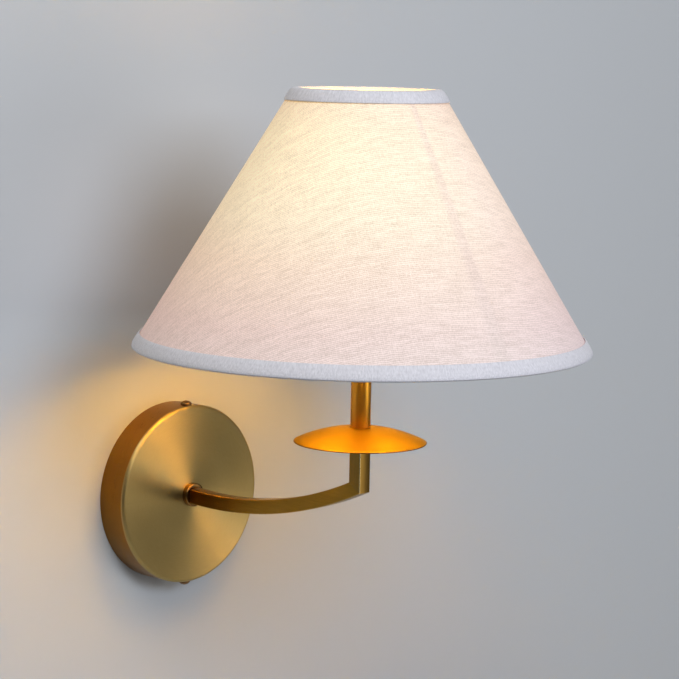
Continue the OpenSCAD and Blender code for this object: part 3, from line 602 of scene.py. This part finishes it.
def lit_linen(name):
    """Natural linen with a painted glow standing for the bulb's light behind it."""
    made, tree, shader = material(name, {"Roughness": 0.85, "Sheen Weight": 0.15,
                                         "Emission Strength": 1.0})
    weave = woven(tree, "flat cut", thread_pitch, slub_length)
    threads = mapped(tree, weave["Thread"], 0.1, 0.9, -0.6, 0.6)
    slubs = mapped(tree, weave["Streak"], 0.3, 0.7, -0.6, 0.6)
    specks = mapped(tree, weave["Speck"], 0.3, 0.7, -0.38, 0.38)
    shade = maths(tree, "ADD", maths(tree, "MULTIPLY_ADD", slubs, 0.7, threads), specks)
    tone = mapped(tree, shade, -0.9, 0.9)
    place = add(tree, "TexCoord").outputs["Object"]
    height = add(tree, "SeparateXYZ", {0: place}).outputs[2]
    glow = ramp(tree, mapped(tree, height, shade_low.z, shade_high.z), glow_stops)
    from_lamp = vectors(tree, "MULTIPLY", vectors(tree, "SUBTRACT", place, lamp), (1, 1, 0))
    out = vectors(tree, "NORMALIZE", from_lamp)
    bright_side = (math.cos(bright_turn), math.sin(bright_turn), 0)
    facing = vectors(tree, "DOT_PRODUCT", out, bright_side, result="Value")
    towards_wall = add(tree, "SeparateXYZ", {0: out}).outputs[1]
    backed = mapped(tree, towards_wall, 0.2, 1.0, curve="SMOOTHSTEP")
    side = blend(tree, backed, ramp(tree, facing, side_stops), wall_side)
    lapped = add(tree, "Attribute", attribute_name="double").outputs["Fac"]
    passed = blend(tree, lapped, single_pass, double_pass)
    light = vectors(tree, "MULTIPLY", vectors(tree, "MULTIPLY", glow, side), passed)
    through = mapped(tree, shade, -1.0, 1.0, 0.70, 1.30)
    bump = add(tree, "Bump", {"Height": weave["Thread"], "Distance": 0.12 * mm, "Strength": 0.6})
    feed(tree, shader, {
        "Base Color": blend(tree, tone, (0.415, 0.375, 0.34, 1), (0.61, 0.59, 0.57, 1)),
        "Emission Color": scaled(tree, light, through),
        "Normal": bump.outputs[0],
    })
    return made


dress(linen_cover, lit_linen("lit natural linen"))
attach(linen_cover, "shade")
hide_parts("shade_cloth")

# ---------- Edge tapes ----------
# Cotton tape, glued on the cloth, folded round each edge and its wire, and glued down inside. It
# is thick enough to keep the bulb's light in.

tape_thick = 0.7 * mm
tape_gap = 0.05 * mm
tape_out = tape_thick / 2 + tape_gap  # from the cloth's face to the tape's middle
depth_in = 4.1 * mm  # from the cloth's face to the far side of the wire, square to the slope
depth_far = depth_in + tape_out
round_steps = 240
bottom_points = [(-tape_out, 8.3 * mm), (-tape_out - 0.25 * mm, 6.5 * mm),
                 (-tape_out - 0.35 * mm, 4 * mm), (-tape_out - 0.2 * mm, 1.5 * mm),
                 (-tape_out + 0.3 * mm, 0.2 * mm), (0.9 * mm, -tape_out),
                 (depth_in - 0.8 * mm, -tape_out), (depth_in, 0.2 * mm), (depth_far, 1.2 * mm),
                 (depth_far, 4.4 * mm)]
top_points = [(-tape_out, shade_h - 6.9 * mm), (-tape_out - 0.2 * mm, shade_h - 5.5 * mm),
              (-tape_out - 0.25 * mm, shade_h - 3 * mm), (-tape_out, shade_h - 0.8 * mm),
              (0.4 * mm, shade_h + tape_out), (depth_in - 0.8 * mm, shade_h + tape_out),
              (depth_far, shade_h - 0.6 * mm), (depth_far, shade_h - 4.4 * mm)]


def tape(name, node, points, edge_r):
    """A band of tape spun round the lamp's axis from its section, which is given as distances
    inside the cloth's face and heights. Its flat cut is as long as the shade's edge."""
    bm = bmesh.new()
    line = []
    for inside, height in points:
        radius = bottom_r - slope * height - inside * slant
        line.append(bm.verts.new((lamp.x + radius, lamp.y, shade_low.z + height)))
    edges = [bm.edges.new(pair) for pair in zip(line, line[1:])]
    bmesh.ops.spin(bm, geom=line + edges, cent=lamp, axis=(0, 0, 1), angle=2 * math.pi,
                   steps=round_steps, use_merge=True)
    bmesh.ops.remove_doubles(bm, verts=bm.verts, dist=0.01 * mm)
    bmesh.ops.recalc_face_normals(bm, faces=bm.faces)
    layer = bm.loops.layers.uv.new("along the tape")
    for face in bm.faces:
        middle = face.calc_center_median() - lamp
        base = math.atan2(middle.y, middle.x)
        for loop in face.loops:
            place = loop.vert.co - lamp
            turn = (math.atan2(place.y, place.x) - base + math.pi) % (2 * math.pi) - math.pi
            loop[layer].uv = ((base + turn) * edge_r, place.z + math.hypot(place.x, place.y))
    piece = formed(name, bm)
    piece.data.shade_smooth()
    wall = piece.modifiers.new("tape", "SOLIDIFY")
    wall.thickness = tape_thick
    wall.offset = 0
    ease = piece.modifiers.new("soft edge", "BEVEL")
    ease.width = 0.25 * mm
    ease.segments = 2
    ease.limit_method = "ANGLE"
    ease.angle_limit = math.radians(50)
    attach(piece, "shade")
    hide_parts(node)
    return piece


def cotton_tape(name):
    """Closely woven cotton, with its ribs across the tape."""
    made, tree, shader = material(name, {"Roughness": 0.9, "Sheen Weight": 0.2})
    weave = woven(tree, "along the tape", 0.8 * mm, 3 * mm)
    threads = mapped(tree, weave["Thread"], 0.1, 0.9, -0.3, 0.3)
    specks = mapped(tree, weave["Speck"], 0.3, 0.7, -0.6, 0.6)
    tone = mapped(tree, maths(tree, "ADD", threads, specks), -1.0, 1.0)
    bump = add(tree, "Bump", {"Height": weave["Thread"], "Distance": 0.15 * mm, "Strength": 0.6})
    feed(tree, shader, {
        "Base Color": blend(tree, tone, (0.42, 0.405, 0.44, 1), (0.64, 0.62, 0.66, 1)),
        "Normal": bump.outputs[0],
    })
    return made


tape_cotton = cotton_tape("grey cotton tape")
dress(tape("bottom_tape", "bottom_trim", bottom_points, bottom_r), tape_cotton)
dress(tape("top_tape", "top_trim", top_points, top_r), tape_cotton)

# ---------- Wall, floor, light and camera ----------
# A plain pale wall that the light hangs on, a plain floor below it, soft studio light from the
# front and above, and a camera to the left, a little above the lamp.

wall_gap = 0.3 * mm
wall_r, box_r = 3.0, 56 * mm
floor_half, floor_z = 3, -1.2


def plain(name, colour, see_through=False):
    """A plain matt material, which can be clear from behind."""
    made, tree, shader = material(name, {"Base Color": (*colour, 1), "Roughness": 0.9,
                                         "Specular IOR Level": 0.2})
    if see_through:
        side = add(tree, "NewGeometry").outputs["Backfacing"]
        clear = add(tree, "BsdfTransparent").outputs[0]
        both = add(tree, "MixShader", {0: side, 1: shader.outputs[0], 2: clear})
        feed(tree, tree.nodes["Material Output"], {"Surface": both.outputs[0]})
    return made


# The wall has a round hole in it, where the supply box would be
bm = bmesh.new()
for radius in (box_r, wall_r):
    ring = bmesh.ops.create_circle(bm, segments=96, radius=radius, cap_ends=False)["verts"]
    bmesh.ops.rotate(bm, verts=ring, cent=(0, 0, 0), matrix=Matrix.Rotation(math.pi / 2, 3, "X"))
bmesh.ops.bridge_loops(bm, edges=bm.edges)
bmesh.ops.translate(bm, verts=bm.verts, vec=(0, wall_gap, 0))
if sum(f.normal.y for f in bm.faces) > 0:
    bmesh.ops.reverse_faces(bm, faces=bm.faces)
wall = formed("wall", bm)
dress(wall, plain("pale wall paint", (0.46, 0.47, 0.485), see_through=True))

bm = bmesh.new()
bmesh.ops.create_grid(bm, x_segments=1, y_segments=1, size=floor_half)
bmesh.ops.translate(bm, verts=bm.verts, vec=(0, 0, floor_z))
floor = formed("floor", bm)
dress(floor, plain("pale floor", (0.62, 0.62, 0.61)))

world = bpy.data.worlds.new("studio")
bpy.context.scene.world = world
world.use_nodes = True
feed(world.node_tree, world.node_tree.nodes["Background"], {"Color": (0.07, 0.07, 0.07, 1)})


def towards(azimuth, elevation):
    """The direction at an azimuth from the front and an elevation, both in degrees."""
    turn, tilt = math.radians(azimuth), math.radians(elevation)
    return Vector((math.sin(turn) * math.cos(tilt), -math.cos(turn) * math.cos(tilt),
                   math.sin(tilt)))


lamp_middle = Vector((0, -0.17, 0.15))
softbox_away, softbox_size = 2, 1.0
for name, azimuth, elevation, power, colour in (
        ("key softbox", -10, 25, 32, (0.77, 0.86, 1.0)),
        ("fill softbox", -60, 50, 21.5, (1.0, 0.95, 0.82)),
        ("side softbox", 28, -2, 10.4, (0.88, 0.83, 0.76))):
    light = bpy.data.lights.new(name, "AREA")
    light.shape = "RECTANGLE"
    light.size, light.size_y = softbox_size, softbox_size
    light.energy = power
    light.color = colour
    softbox = bpy.data.objects.new(name, light)
    bpy.context.scene.collection.objects.link(softbox)
    softbox.location = lamp_middle + softbox_away * towards(azimuth, elevation)
    aim = lamp_middle - softbox.location
    softbox.rotation_euler = aim.to_track_quat("-Z", "Y").to_euler()

look_at = Vector((-11.9, -170, 120.9)) * mm
view_back, view_away, view_roll = towards(-46, 7.45), 1.4694, math.radians(1.08)
camera = bpy.data.objects.new("camera", bpy.data.cameras.new("camera"))
bpy.context.scene.collection.objects.link(camera)
camera.location = look_at + view_back * view_away
level = (-view_back).to_track_quat("-Z", "Y").to_matrix()
camera.rotation_euler = (level @ Matrix.Rotation(view_roll, 3, "Z")).to_euler()
camera.data.sensor_width = 36
camera.data.lens = 126.1
bpy.context.scene.camera = camera
bpy.context.scene.view_settings.view_transform = "Standard"
